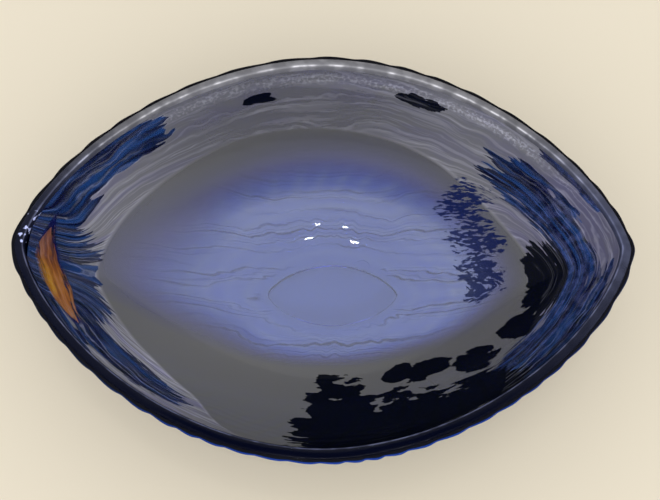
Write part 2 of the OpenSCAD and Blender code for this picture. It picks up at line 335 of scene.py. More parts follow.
def casing_outside(even, turn):
    """The outside with its ribs and ridges, which calm down just under the lip"""
    share = rib_share(even, turn)
    half = half_at(turn)
    skin = smooth_skin(share, turn, 0, FOOT_HEIGHT)
    out = plan_normal(share, half)
    raised = RIB_DEPTH * rib_fade(turn) * rib_height(even)
    raised = raised + ripple(share, turn, skin) * (1 - ease(*RIDGES_CALM, turn))
    skin[..., :2] += out * (raised * sine(steepness(turn)))[..., None]
    skin[..., 2] -= raised * cosine(steepness(turn))
    return skin


def lining_inside(share, turn):
    """Smooth below, gently drawn into ripples along the rim higher up"""
    skin = smooth_skin(share, turn, WALL, FLOOR_Z)
    lines = grain(share, turn, skin)
    wave = sine(360 * lines / WAVE_PITCH + 120 * mottle(share, turn / 90, *RIM_WAVES))
    height = WAVE_HEIGHT * wave * ease(*WAVES_RISE, turn) * (1 - ease(*WAVES_CALM, turn))
    skin[..., :2] -= plan_normal(share, half_at(turn, WALL)) * (height * sine(turn))[..., None]
    skin[..., 2] += height * cosine(turn)
    return skin


def inward(share, turn):
    """Direction from the seam to the inside of the bowl"""
    step = lining_inside(share, turn) - seam_skin(share, turn)
    return step / np.linalg.norm(step, axis=-1, keepdims=True)


def lining_outside(share, turn):
    """The lining's side of the seam, pushed in where the streak lies"""
    skin = seam_skin(share, turn)
    swell = STREAK_THICKNESS * streak_swell(share, turn)
    return skin + inward(share, turn) * (SEAM + swell + SEAM * (swell > 0))[..., None]


def edge_skin(even, section):
    """The casing's rounded edge outside the bead, from its outer foot at 0 to the bead at 90"""
    foot = casing_outside(even, np.full(np.shape(even), float(WALL_TURN)))
    flat = plan(rib_share(even, WALL_TURN), SEAT_HALF - EDGE_WIDTH)
    inner = np.stack([flat[..., 0], flat[..., 1], np.full(np.shape(even), float(SEAT_Z))], -1)
    skin = inner + (foot - inner) * np.asarray(cosine(section))[..., None] ** EDGE_FULLNESS
    skin[..., 2] = SEAT_Z + EDGE_HEIGHT * sine(section) ** EDGE_FULLNESS
    return skin


def edge_foot(even, height):
    """The casing's side of the seam with the bead, down to the seat"""
    skin = edge_skin(even, np.full(np.shape(even), 90.0))
    skin[..., 2] = SEAT_Z + height * EDGE_HEIGHT
    return skin


def bead_section():
    """The bead's section from the casing's edge, up the slope and over the crown to its inner seat"""
    crown = WALL - LIP_CROWN
    corners = [
        (EDGE_WIDTH + SEAM, EDGE_HEIGHT), (EDGE_WIDTH + 0.5, EDGE_HEIGHT + 0.8),
        (crown - 1.2, LIP_HEIGHT - 0.75), (crown, LIP_HEIGHT - 0.3),
        (WALL - 0.35, LIP_HEIGHT - 1.1), (WALL, LIP_HEIGHT - 2.6), (WALL, 0)]
    corner_cuts = 3
    for _ in range(corner_cuts):
        corners = [corners[0]] + [
            tuple(np.array(a) * (1 - part) + np.array(b) * part)
            for a, b in zip(corners, corners[1:]) for part in (0.25, 0.75)] + [corners[-1]]
    inset, level = np.array(corners).T
    run = np.append(0, np.cumsum(np.hypot(np.diff(inset), np.diff(level))))
    return run / run[-1] * 180, inset, level


BEAD_RUN, BEAD_INSET, BEAD_LEVEL = bead_section()
# Where the crown's painted highlight lies on that way from 0 to 180, and how far it spreads
CROWN_AT, CROWN_SPREAD = 104, 7


def bead_skin(even, section):
    """The bead, from its outer foot at 0 over the crown to the lining at 180"""
    share = rib_share(even, WALL_TURN)
    flat = plan(share, SEAT_HALF - np.interp(section, BEAD_RUN, BEAD_INSET)[..., None])
    wave = BEAD_WAVE_HEIGHT * mottle(share, 0 * share + 0.1, *BEAD_WAVES) * sine(section)
    level = SEAT_Z + np.interp(section, BEAD_RUN, BEAD_LEVEL) + wave
    return np.stack([flat[..., 0], flat[..., 1], level], -1)


# ---- Blowing a piece: a ring drawn up, over and back down ----------------------------------------

SHARP_EDGE = 60         # degrees between two faces from which their edge stays sharp

# Vertices in each ring, and the turns of the rings of each skin
CASING_COLUMNS, LINING_COLUMNS, LIP_COLUMNS, PAD_COLUMNS = 552, 368, 552, 184
CASING_ROWS = WALL_TURN * (np.arange(126) / 125)
SEAM_ROWS = WALL_TURN * (np.arange(15) / 14)
INSIDE_ROWS = WALL_TURN * (1 - np.arange(91) / 90)
# Top of the pad, and how far its side is rounded off at each level
PAD_TOP = FOOT_HEIGHT - SEAM
PAD_ROUNDING = [0, 0.35, 0.9, PAD_TOP], [0.5, 0.12, 0.0, 0.0]
# How much of the streak's hollow its leaf fills, and how far its upper and lower face stand off the casing,
# as shares of the seam
LEAF_FILL, LEAF_GAPS = 0.985, (0.9, 0.5)
# Rings of the casing's wall that take the finish of its edge, and rings past them that keep the full painted
# blue light
EDGE_SKIRT, EDGE_BRINK = 3, 4


def deselect():
    bpy.ops.object.select_all(action="DESELECT")


def draw_rings(name, columns, stations, cap=True):
    """Extrudes a circle through stations of (half length, half width, shift, level), in millimetres"""
    deselect()
    bpy.ops.mesh.primitive_circle_add(vertices=columns, radius=1)
    piece = bpy.context.object
    piece.name = piece.data.name = name
    bpy.ops.object.mode_set(mode="EDIT")
    bpy.ops.mesh.select_all(action="SELECT")
    old = (1 / MM, 1 / MM, 0, 0)
    for number, new in enumerate(stations):
        if number:
            bpy.ops.mesh.extrude_edges_move()
        bpy.ops.transform.resize(value=(new[0] / old[0], new[1] / old[1], 1),
                                 center_override=(old[2] * MM, 0, old[3] * MM))
        bpy.ops.transform.translate(value=((new[2] - old[2]) * MM, 0, (new[3] - old[3]) * MM))
        old = new
    if cap:
        bpy.ops.mesh.edge_face_add()
        close_loop(piece, range(columns))
    bpy.ops.object.mode_set(mode="OBJECT")
    return piece


def pick(piece, numbers):
    """Selects just these vertices, in edit mode"""
    bpy.ops.mesh.select_mode(type="VERT")
    bpy.ops.mesh.select_all(action="DESELECT")
    bpy.ops.object.mode_set(mode="OBJECT")
    chosen = np.zeros(len(piece.data.vertices), bool)
    chosen[list(numbers)] = True
    piece.data.vertices.foreach_set("select", chosen)
    bpy.ops.object.mode_set(mode="EDIT")


def close_loop(piece, numbers):
    pick(piece, numbers)
    bpy.ops.mesh.edge_face_add()


def settle(piece, spots):
    """Moves the vertices to their places on the skin"""
    piece.data.vertices.foreach_set("co", (spots * MM).ravel())
    piece.data.update()


def mark(piece, name, values, domain="POINT"):
    """Keeps a number for each vertex or face, which the finish reads"""
    piece.data.attributes.new(name, "FLOAT", domain).data.foreach_set("value", np.asarray(values, float))


def mark_fused(piece, is_fused):
    """Marks the faces that are fused to another piece"""
    fused = [float(all(is_fused[v] for v in face.vertices)) for face in piece.data.polygons]
    mark(piece, "fused", fused, "FACE")


def mark_glass(piece, share, turn, spots):
    """Keeps how far up the wall each vertex is, its place across the drawn lines and where the painted
    reflections, highlights and shade go
    """
    mark(piece, "turn", turn)
    mark(piece, "grain", grain(share, turn, spots) * MM)
    mark(piece, "rising", rising(share, turn))
    mark(piece, "above", turn - around(BROW, share, 0.005))
    mark(piece, "over_amber", np.minimum(amber_depth(share, turn), 8 * streak_swell(share, turn)))
    mark(piece, "far", ease(*FAR_SIDE, sine(360 * share)))
    mark(piece, "violet", ease(*RIGHT_TIP, cosine(360 * share)))
    for name, regions in (("inky", DARK_REFLECTIONS), ("navy", NAVY_REFLECTIONS), ("flecked", STROKED_REFLECTIONS), ("sparkling", PAINTED_GLINT_SPOTS)):
        mark(piece, name, inside(regions, share, turn))
    for name, table in (("bloom", PAINTED_VEIL_DENSITY), ("lit", LIT), ("sheen", SHEEN), ("blue", BLUE)):
        mark(piece, name, around(table, share))


def finish_piece(piece, node, material):
    """Turns the faces outwards, smooths them and lets the piece stand for its node"""
    deselect()
    bpy.context.view_layer.objects.active = piece
    piece.select_set(True)
    bpy.ops.object.mode_set(mode="EDIT")
    bpy.ops.mesh.select_all(action="SELECT")
    bpy.ops.mesh.normals_make_consistent(inside=False)
    bpy.ops.object.mode_set(mode="OBJECT")
    bpy.ops.object.shade_smooth_by_angle(angle=math.radians(SHARP_EDGE))
    piece.data.materials.append(material)
    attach(piece, ROOT)
    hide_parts(node)


def stations_of(skin, columns, *rows):
    """Each row's rough half length, half width, shift and level"""
    share = np.arange(columns) / columns
    listed = []
    for row in rows:
        spots = skin(share, np.full(columns, float(row)))
        low, high = spots.min(axis=0), spots.max(axis=0)
        half, middle = (high - low) / 2, (high + low) / 2
        listed.append((half[0], half[1], middle[0], spots[:, 2].mean()))
    return listed


def circle_share(columns):
    """Share of the way round of each vertex of Blender's circle"""
    step = 2 * math.pi * np.arange(columns) / columns
    way = np.arctan2(np.cos(step), -np.sin(step)) / (2 * math.pi)
    return np.round(way * columns) / columns % 1


def blow(name, columns, skins):
    """Draws rings through (skin, rows) in turn and settles each ring on its skin"""
    share = circle_share(columns)
    stations, spots, turns, shares = [], [], [], []
    for skin, rows in skins:
        at_lip = skin in (edge_skin, edge_foot)
        stations += stations_of(skin, columns, *rows)
        spots += [skin(share, np.full(columns, float(row))) for row in rows]
        turns += [np.full(columns, float(WALL_TURN if at_lip else row)) for row in rows]
        shares += [rib_share(share, WALL_TURN) if at_lip else share for _ in rows]
    piece = draw_rings(name, columns, stations)
    spots, turns, shares = (np.concatenate(listed) for listed in (spots, turns, shares))
    settle(piece, spots)
    mark_glass(piece, shares, turns, spots)
    return piece


def floor_disc(share, size):
    """The inside floor, drawn in towards its middle"""
    rim = lining_inside(share, np.zeros(np.shape(share)))
    middle = np.array([FOOT_SHIFT, 0, rim[..., 2].mean()])
    return middle + (rim - middle) * size[..., None]


def blow_casing():
    edge_rows = np.linspace(0, 90, 9)[1:]
    piece = blow("cobalt_casing_glass", CASING_COLUMNS, [
        (casing_outside, CASING_ROWS),
        (edge_skin, edge_rows),
        (edge_foot, [0.5, 0.0]),
        (seam_skin, SEAM_ROWS[::-1]),
    ])
    first_edge = len(CASING_ROWS)
    last_edge = first_edge + len(edge_rows)
    ring = np.arange(len(piece.data.vertices)) // CASING_COLUMNS
    mark_fused(piece, (ring == 0) | (ring >= last_edge - 1))
    mark(piece, "edge", (ring >= first_edge - EDGE_SKIRT) & (ring < last_edge))
    mark(piece, "brink", ring < first_edge + EDGE_BRINK)
    return piece


def blow_lining():
    piece = blow("clear_lining_glass", LINING_COLUMNS, [
        (lining_outside, SEAM_ROWS),
        (lining_inside, INSIDE_ROWS),
        (floor_disc, [0.75, 0.5, 0.25]),
    ])
    ring = np.arange(len(piece.data.vertices)) // LINING_COLUMNS
    mark_fused(piece, ring <= len(SEAM_ROWS))
    return piece


def bead_underside(even, part):
    """The bead's side of its seat, from the lining at 0 out to the casing's edge at 1"""
    inner = bead_skin(even, np.full(even.shape, 180.0))
    outer = bead_skin(even, np.zeros(even.shape))
    skin = inner + (outer - inner) * part[..., None]
    skin[..., 2] = SEAT_Z + SEAM
    return skin


def blow_lip():
    """A closed ring: its first and last circle are bridged, and the bead's crown is marked for its painted
    highlight
    """
    share = circle_share(LIP_COLUMNS)
    over = np.linspace(0, 180, 25)
    under = [0.25, 0.5, 0.75, 1.0]
    skins = [(bead_skin, over), (bead_underside, under)]
    stations = [station for skin, rows in skins for station in stations_of(skin, LIP_COLUMNS, *rows)]
    spots = np.concatenate([
        skin(share, np.full(LIP_COLUMNS, float(row))) for skin, rows in skins for row in rows])
    piece = draw_rings("lip_bead_glass", LIP_COLUMNS, stations, cap=False)
    last = LIP_COLUMNS * (len(stations) - 1)
    bpy.ops.object.mode_set(mode="EDIT")
    pick(piece, list(range(LIP_COLUMNS)) + list(range(last, last + LIP_COLUMNS)))
    bpy.ops.mesh.select_mode(type="EDGE")
    bpy.ops.mesh.bridge_edge_loops()
    bpy.ops.object.mode_set(mode="OBJECT")
    spots[:, 2] = np.maximum(spots[:, 2], SEAT_Z + SEAM)
    settle(piece, spots)
    over_the_top = np.append(over, np.zeros(len(under)))
    mark(piece, "crown", np.repeat(np.exp(-((over_the_top - CROWN_AT) / CROWN_SPREAD) ** 2), LIP_COLUMNS))
    shares = np.tile(rib_share(share, WALL_TURN), len(stations)) % 1
    mark_glass(piece, shares, np.full(len(spots), float(WALL_TURN)), spots)
    ring = np.arange(len(spots)) // LIP_COLUMNS
    mark_fused(piece, (ring == 0) | (ring >= len(over) - 1))
    return piece


def pad_side(share, level):
    """The pad's side, rounded where it meets its ground flat"""
    flat = plan(share, FOOT_HALF - np.interp(level, *PAD_ROUNDING)[..., None])
    return np.stack([flat[..., 0] + FOOT_SHIFT, flat[..., 1], level], -1)


def blow_pad():
    rows = [0, 0.12, 0.35, 0.6, 0.9, 1.6, 2.3, PAD_TOP]
    piece = blow("foot_pad_glass", PAD_COLUMNS, [(pad_side, rows)])
    ring = np.arange(len(piece.data.vertices)) // PAD_COLUMNS
    mark_fused(piece, ring == len(rows) - 1)
    return piece


def lay_streak():
    """A leaf of cloudy glass laid in the seam: a grid drawn out towards the lining"""
    across, along = 24, 60
    deselect()
    bpy.ops.mesh.primitive_grid_add(x_subdivisions=along, y_subdivisions=across, size=2)
    piece = bpy.context.object
    piece.name = piece.data.name = "amber_streak_glass"
    bpy.ops.object.mode_set(mode="EDIT")
    bpy.ops.mesh.select_all(action="SELECT")
    bpy.ops.mesh.extrude_region_move(TRANSFORM_OT_translate={"value": (0, 0, 1)})
    bpy.ops.object.mode_set(mode="OBJECT")
    spots = np.array([v.co[:] for v in piece.data.vertices])
    is_upper = spots[:, 2] > 0.5
    square = spots[:, :2]
    leaf = LEAF_FILL * np.sqrt(1 - square[:, ::-1] ** 2 / 2) * square
    middle = np.interp(STREAK_ANGLE, ANGLES, RUN) / RUN[-1]
    share = middle + leaf[:, 0] * STREAK_LENGTH / 2 / RUN[-1]
    turn = (STREAK_LOW + STREAK_HIGH) / 2 + leaf[:, 1] * (STREAK_HIGH - STREAK_LOW) / 2
    swell = STREAK_THICKNESS * streak_swell(share, turn)
    lift = np.where(is_upper, swell, 0) + SEAM * np.where(is_upper, *LEAF_GAPS)
    spots = seam_skin(share, turn) + inward(share, turn) * lift[:, None]
    settle(piece, spots)
    mark_glass(piece, share, turn, spots)
    for name, values in zip(("along", "across"), amber_place(share, turn)):
        mark(piece, name, values)
    return piece


# ---- Finishes ------------------------------------------------------------------------------------

# What the glass takes out of red, green and blue light, per metre
COBALT_DEPTH, SMOKY_DEPTH = (2900, 2150, 90), (1100, 1000, 800)
PAD_DEPTH, CLEAR_DEPTH = (60, 50, 10), (5, 3, 1)
COBALT_IOR, CLEAR_IOR = 1.5, 1.52

# How much of the glass the coat of painted light and shade hides on the casing's edge, on the bead and low
# in the bowl, and how much less of it up the wall
EDGE_COVER, LIP_COVER, FLOOR_COVER, WALL_THINNING = 0.88, 0.87, 0.87, 0.54
# Brightness of the plain painted reflection veil, what it loses up the wall and what the painted sheen over
# the brow adds
PAINTED_VEIL_BRIGHTNESS, WALL_DIMMING, SHEEN_BRIGHTNESS = 0.146, 0.02, 0.055
# Degrees of turn between which the frost under the rim comes and goes
FROST_COMES, FROST_GOES = (65.5, 68.0), (69.0, 71.5)

# Tones, lowest in the ramp first
THREAD, SMOKE = (0.07, 0.06, 0.18), (0.10, 0.11, 0.16)
# Painted tones of the casing's edge: a black outline, up to its painted blue light
EDGE_TONES = [(0.0, (0.003, 0.003, 0.006)), (0.35, (0.003, 0.012, 0.055)), (1.0, (0.006, 0.038, 0.27))]
WINDOW_TONES = [
    (0.0, (0.60, 0.68, 1.0)), (0.3, (0.48, 0.56, 1.0)), (0.6, (0.64, 0.66, 1.0)), (1.0, (0.80, 0.80, 0.77))]
NAVY_REFLECTION_TONES = [(0.38, (0.003, 0.005, 0.012)), (0.50, (0.009, 0.022, 0.065)), (0.64, (0.016, 0.060, 0.20))]
GREY_PAINTED_VEIL, VIOLET_PAINTED_VEIL = (0.79, 0.79, 0.85), (0.68, 0.66, 1.0)
STROKED_REFLECTION_TONE, DARK_REFLECTION_TONE = (0.008, 0.015, 0.075), (0.002, 0.003, 0.006)
PAINTED_STREAK_TONE, DAPPLE_TONE = (0.78, 0.78, 0.90), (0.30, 0.36, 0.95)
NEAR_LIP_REFLECTION, FAR_LIP_REFLECTION, LIP_NAVY = (0.55, 0.60, 0.98), (0.80, 0.79, 0.83), (0.11, 0.20, 1.0)
AMBER_TONES = [
    (0.34, (0.16, 0.05, 0.015)), (0.46, (0.50, 0.16, 0.02)), (0.56, (0.72, 0.27, 0.03)),
    (0.70, (0.76, 0.40, 0.20))]
ROSY_TONES = [(0.34, (0.16, 0.07, 0.10)), (0.48, (0.55, 0.20, 0.08)), (0.66, (0.68, 0.38, 0.38))]
GOLDEN_TONES = [(0.38, (0.45, 0.17, 0.002)), (0.52, (0.78, 0.34, 0.001)), (0.68, (0.95, 0.52, 0.004))]


class Value:
    """A node's output that takes plain arithmetic"""

    def __init__(self, finish, link):
        self.finish, self.link = finish, link

    def worked_out(self, operation, *values):
        return self.finish.node("ShaderNodeMath", {"operation": operation}, dict(enumerate(values)))

    def __add__(self, other):
        return self.worked_out("ADD", self, other)

    def __sub__(self, other):
        return self.worked_out("SUBTRACT", self, other)

    def __rsub__(self, other):
        return self.worked_out("SUBTRACT", other, self)

    def __mul__(self, other):
        return self.worked_out("MULTIPLY", self, other)

    def __truediv__(self, other):
        return self.worked_out("DIVIDE", self, other)

    def __rtruediv__(self, other):
        return self.worked_out("DIVIDE", other, self)

    def __pow__(self, other):
        return self.worked_out("POWER", self, other)

    def __rpow__(self, other):
        return self.worked_out("POWER", other, self)

    __radd__, __rmul__ = __add__, __mul__

    def between(self, low, high):
        """0 below low, 1 above high and smooth between them"""
        return self.finish.node("ShaderNodeMapRange", {"interpolation_type": "SMOOTHSTEP"},
                                {0: self, 1: low, 2: high, 3: 0.0, 4: 1.0})


class Finish:
    """The node tree of a material or of the world"""

    def __init__(self, owner, end="ShaderNodeOutputMaterial"):
        owner.use_nodes = True
        self.owner, self.tree = owner, owner.node_tree
        self.tree.nodes.clear()
        self.end = self.tree.nodes.new(end)

    def node(self, kind, settings=None, sockets=None, out=0):
        """A new node: its settings first, a ramp's stops among them, and then its sockets' values or links"""
        made = self.tree.nodes.new(kind)
        for setting, value in (settings or {}).items():
            if setting == "stops":
                set_stops(made.color_ramp.elements, value)
            else:
                setattr(made, setting, value)
        for socket, value in (sockets or {}).items():
            if isinstance(value, Value):
                self.tree.links.new(value.link, made.inputs[socket])
            else:
                made.inputs[socket].default_value = value
        return Value(self, made.outputs[out])

    def attribute(self, name):
        return self.node("ShaderNodeAttribute", {"attribute_name": name}, out="Fac")

    def place(self):
        return self.node("ShaderNodeTexCoord", out="Object")

    def ramp(self, value, stops):
        return self.node("ShaderNodeValToRGB", {"stops": stops}, {0: value})

    def noise(self, vector, detail=3.0):
        return self.node("ShaderNodeTexNoise", None, {"Vector": vector, "Scale": 1.0, "Detail": detail})

    def scaled(self, colour, amount):
        return self.node("ShaderNodeVectorMath", {"operation": "SCALE"}, {0: colour, "Scale": amount})

    def added(self, colour, other):
        return self.node("ShaderNodeVectorMath", {"operation": "ADD"}, {0: colour, 1: other})

    def joined(self, x=0.0, y=0.0, z=0.0):
        return self.node("ShaderNodeCombineXYZ", None, {0: x, 1: y, 2: z})

    def mixed(self, part, colour, other):
        colour, other = (tone if isinstance(tone, Value) else (*tone, 1) for tone in (colour, other))
        return self.node("ShaderNodeMix", {"data_type": "RGBA"}, {0: part, 6: colour, 7: other}, out=2)

    def layered(self, part, under, over):
        """One shader over another where part is 1"""
        return self.node("ShaderNodeMixShader", None, {0: part, 1: under, 2: over})

    def see_through(self, tone=(1, 1, 1)):
        return self.node("ShaderNodeBsdfTransparent", None, {0: (*tone, 1)})

    def matte(self, colour, roughness):
        """A coat that takes colour and mirrors nothing"""
        sockets = {"Base Color": colour, "Roughness": roughness, "Specular IOR Level": 0.0}
        return self.node("ShaderNodeBsdfPrincipled", None, sockets)

    def show(self, surface, volume=None):
        self.tree.links.new(surface.link, self.end.inputs["Surface"])
        if volume:
            self.tree.links.new(volume.link, self.end.inputs["Volume"])
        return self.owner


def set_stops(bar, stops):
    while len(bar) < len(stops):
        bar.new(0.5)
    for stop, (position, colour) in zip(bar, stops):
        stop.position, stop.color = position, (*colour, 1)


def new_finish(name):
    return Finish(bpy.data.materials.new(name))


def fused_glass(finish, absorbed, ior, cover=None, coat=None, straight=None):
    """Glass under a thin dull coat of painted light and shade, with fused faces that let light straight
    through

    absorbed is per metre for red, green and blue; cover is how much of the glass the coat hides; straight
    is the shader of the fused faces, and clear where none is given
    """
    sockets = {"Base Color": (1, 1, 1, 1), "Roughness": 0.0, "IOR": ior, "Transmission Weight": 1.0}
    glass = finish.node("ShaderNodeBsdfPrincipled", None, sockets)
    if coat:
        glass = finish.layered(cover, glass, finish.matte(coat, 1.0))
    surface = finish.layered(finish.attribute("fused"), glass, straight or finish.see_through())
    density = max(absorbed)
    tint = tuple(1 - part / density for part in absorbed)
    volume = finish.node("ShaderNodeVolumeAbsorption", None, {"Color": (*tint, 1), "Density": density})
    return finish.show(surface, volume)


def drawn_noise(finish, along, across, detail=4.0):
    """Noise stretched along the drawn lines; along and across are in cells per metre"""
    apart = finish.joined(z=finish.attribute("grain") * across)
    return finish.noise(finish.added(finish.scaled(finish.place(), along), apart), detail)


def even_noise(finish, per_metre, detail):
    """Noise that is the same in every direction"""
    return finish.noise(finish.scaled(finish.place(), per_metre), detail)


def broken(finish, name, grip, along=70.0, across=170.0, detail=4.0):
    """A marked region with an edge torn along the drawn lines"""
    torn = drawn_noise(finish, along, across, detail)
    return (finish.attribute(name) + (torn - 0.5) * grip).between(0.1, 0.18)


def dark_reflection_strokes(finish):
    """Painted dark reflection in short dark strokes, crowded in its marked patches"""
    strokes = drawn_noise(finish, 210.0, 700.0, 3.0)
    return ((strokes - 0.5) * 3.8 + finish.attribute("flecked") - 0.60).between(0.0, 0.2)


def drawn_lines(finish, per_metre, along, low, high, wiggle=1.1):
    """Fine wavering lines drawn along the glass, in patches"""
    bend = drawn_noise(finish, along, 60.0, 3.0) * 3.0 + drawn_noise(finish, 110.0, 90.0, 2.0) * wiggle
    grain_lines = finish.attribute("grain") * per_metre + bend
    phase = finish.node("ShaderNodeMath", {"operation": "FRACT"}, {0: grain_lines})
    line = 1.0 - finish.node("ShaderNodeMath", {"operation": "ABSOLUTE"}, {0: phase - 0.5}) * 2.0
    patches = drawn_noise(finish, along * 0.8, 110.0, 2.0).between(0.42, 0.60)
    return line.between(low, high) * patches


def cobalt_finish():
    """Cobalt glass with dark threads drawn out in the seam, smoky where it thickens up the wall"""
    finish = new_finish("cobalt_glass")
    broad = drawn_lines(finish, 200.0, 6.0, 0.70, 1.0, wiggle=0.15)
    fine = drawn_lines(finish, 430.0, 7.0, 0.50, 1.0, wiggle=0.2)
    threads = (broad + fine * 0.3) * finish.attribute("turn").between(1.0, 4.0)
    seam = finish.layered(threads, finish.see_through(), finish.see_through(THREAD))
    seam = finish.layered(finish.attribute("rising").between(-0.05, 0.85), seam, finish.see_through(SMOKE))
    # Painted light and shade on the casing's edge: blue where light would come through it on the near side, a
    # black outline elsewhere
    edge = finish.ramp(finish.attribute("blue") * finish.attribute("brink"), EDGE_TONES)
    return fused_glass(finish, COBALT_DEPTH, COBALT_IOR, finish.attribute("edge") * EDGE_COVER, edge, seam)


def streaks_up_the_wall(finish, above, brow, in_dark_reflection, inky):
    """Painted reflections above the brow in pale bands and lines, with scratches; a painted highlight along
    the brow; and frost under the far rim, brightened by the painted sheen
    """
    turn, far = finish.attribute("turn"), finish.attribute("far")
    sheen, violet = finish.attribute("sheen"), finish.attribute("violet")
    glare_bands = drawn_noise(finish, 14.0, 260.0, 2.0).between(0.50, 0.62) * (1.0 - in_dark_reflection * 0.9)
    glare_bands = glare_bands * (0.05 + sheen * 0.08) * (1.0 - far * 0.4)
    lines = drawn_lines(finish, 280.0, 16.0, 0.55, 1.0) * (1.0 - far * 0.75) * (1.0 - violet * 0.45)
    lines = lines * (1.0 - in_dark_reflection * 0.3) * (1.0 - inky * 0.6)
    scratches = drawn_noise(finish, 40.0, 560.0, 1.5).between(0.60, 0.70)
    brow_highlight = brow.between(-0.6, 0.2) * (1.0 - brow.between(0.3, 1.4)) * (1.0 - in_dark_reflection)
    frost = turn.between(*FROST_COMES) * (1.0 - turn.between(*FROST_GOES)) * far * (1.0 - in_dark_reflection)
    rime = even_noise(finish, 600.0, 2.0).between(0.44, 0.68)
    frost = frost * (0.03 + rime * 0.15) * (0.6 + sheen * 0.7)
    return above * (glare_bands + lines * 0.21 + scratches * 0.05) + brow_highlight * sheen * 0.09 + frost


def clear_finish():
    """Clear glass under a painted reflection veil: plain below, streaked with painted reflections up the wall
    and left off where dark reflections are painted
    """
    finish = new_finish("clear_glass")
    rising, violet = finish.attribute("rising"), finish.attribute("violet")
    brow, wall = finish.attribute("above"), rising.between(0.3, 0.9)
    above = brow.between(0.0, 0.8)
    inky = broken(finish, "inky", 3.6)
    navy = broken(finish, "navy", 3.2, along=45.0, across=240.0, detail=2.0)
    stroked_shade = dark_reflection_strokes(finish)
    # Where dark reflections are painted, the veil is left off and the glass shows
    in_dark_reflection = 1.0 - (1.0 - inky) * (1.0 - navy * 0.9) * (1.0 - stroked_shade)
    cover = 1.0 - (FLOOR_COVER - wall * WALL_THINNING) * (1.0 - stroked_shade * 0.8) * (1.0 - inky * 0.8)

    # The painted reflection veil: grey, violet towards the right tip, and tinted blue over the thin window as
    # painted glow
    veil_variation = drawn_noise(finish, 22.0, 70.0, 3.0).between(0.50, 0.62) * (0.8 - finish.attribute("far") * 0.45)
    upper = finish.mixed(veil_variation + violet * 0.7, GREY_PAINTED_VEIL, VIOLET_PAINTED_VEIL)
    veil_tone = finish.mixed(above, finish.ramp(rising, WINDOW_TONES), upper)
    density = finish.attribute("bloom") * wall + (1.0 - wall)
    # Painted sheen over the brow, added to the veil
    shine = above * finish.attribute("sheen") * SHEEN_BRIGHTNESS
    brightness = density * PAINTED_VEIL_BRIGHTNESS - wall * WALL_DIMMING + shine
    coat = finish.scaled(veil_tone, brightness / cover)
    # Painted dark reflections over the veil: navy, in short dark strokes, and black
    coat = finish.mixed(navy, coat, finish.ramp(drawn_noise(finish, 30.0, 250.0, 2.0), NAVY_REFLECTION_TONES))
    coat = finish.mixed(stroked_shade, coat, STROKED_REFLECTION_TONE)
    coat = finish.mixed(inky, coat, DARK_REFLECTION_TONE)

    # Painted streaks of reflected light up the wall, a painted highlight along the brow, and frost
    streaks = streaks_up_the_wall(finish, above, brow, in_dark_reflection, inky)
    coat = finish.added(coat, finish.scaled(PAINTED_STREAK_TONE, streaks / cover))
    # Painted lighter blue specks in the navy reflections at the right tip
    dapple = even_noise(finish, 230.0, 2.0).between(0.42, 0.62) * violet * navy * (1.0 - inky)
    coat = finish.added(coat, finish.scaled(DAPPLE_TONE, dapple * 0.075 / cover))
    shown = 1.0 - finish.attribute("over_amber").between(0.0, 0.4) * 0.93
    return fused_glass(finish, CLEAR_DEPTH, CLEAR_IOR, cover * shown, coat)


def lip_finish():
    """Smoky bead under a painted reflection: grey on the far side and black on the near side, with a painted
    highlight on its crown and painted glints
    """
    finish = new_finish("lip_glass")
    far = finish.attribute("far")
    cloud = even_noise(finish, 120.0, 2.0).between(0.40, 0.66)
    # Painted glints at the left tip and a painted highlight along the crown
    glints = (even_noise(finish, 480.0, 1.0) * 4.0 + finish.attribute("sparkling")).between(3.35, 3.55)
    crown = finish.attribute("crown") * (0.10 + cloud * 0.20 + cloud ** 3.0 * far * 0.5)
    light = finish.attribute("lit") * (0.22 + cloud * 0.12) + crown + glints
    # The painted reflection: grey on the far side, black on the near side
    coat = finish.scaled(finish.mixed(far, NEAR_LIP_REFLECTION, FAR_LIP_REFLECTION), light)
    # A faint painted navy tone on the bead, less where the edge's painted blue light is
    coat = finish.added(coat, finish.scaled(LIP_NAVY, 0.012 - finish.attribute("blue") * 0.004))
    return fused_glass(finish, SMOKY_DEPTH, CLEAR_IOR, LIP_COVER, coat)


def foot_finish():
    return fused_glass(new_finish("foot_glass"), PAD_DEPTH, COBALT_IOR)


def amber_finish():
    """Cloudy amber drawn out along the streak: rosy at its upper end, golden in the middle"""
    finish = new_finish("amber_glass")
    along, across = finish.attribute("along"), finish.attribute("across")
    drawn_out = finish.joined(along * 1.6, across * 3.4, 0.3)
    sockets = {"Vector": drawn_out, "Scale": 1.0, "Detail": 5.0, "Roughness": 0.6}
    cloud = finish.node("ShaderNodeTexNoise", None, sockets)
    upper = 1.0 - along.between(-0.62, -0.12)
    middle = along.between(-0.25, 0.0) * (1.0 - along.between(0.30, 0.55)) * across.between(-0.4, 0.5)
    amber, rosy, golden = (finish.ramp(cloud, tones) for tones in (AMBER_TONES, ROSY_TONES, GOLDEN_TONES))
    colour = finish.mixed(middle, finish.mixed(upper, amber, rosy), golden)
    wisp = finish.noise(finish.joined(along * 1.7, across * 5.5, 4.1))
    shown = (1.0 - across * across - along ** 4.0 * 0.7 + (wisp - 0.5) * 2.9).between(0.12, 0.50)
    return finish.show(finish.layered(shown, finish.see_through(), finish.matte(colour, 0.3)))


# ---- The bowl ------------------------------------------------------------------------------------

finish_piece(blow_casing(), "cobalt_casing", cobalt_finish())
finish_piece(blow_lining(), "clear_lining", clear_finish())
finish_piece(blow_lip(), "lip_bead", lip_finish())
finish_piece(blow_pad(), "foot_pad", foot_finish())
finish_piece(lay_streak(), "amber_streak", amber_finish())


# ---- Table, light and camera ---------------------------------------------------------------------

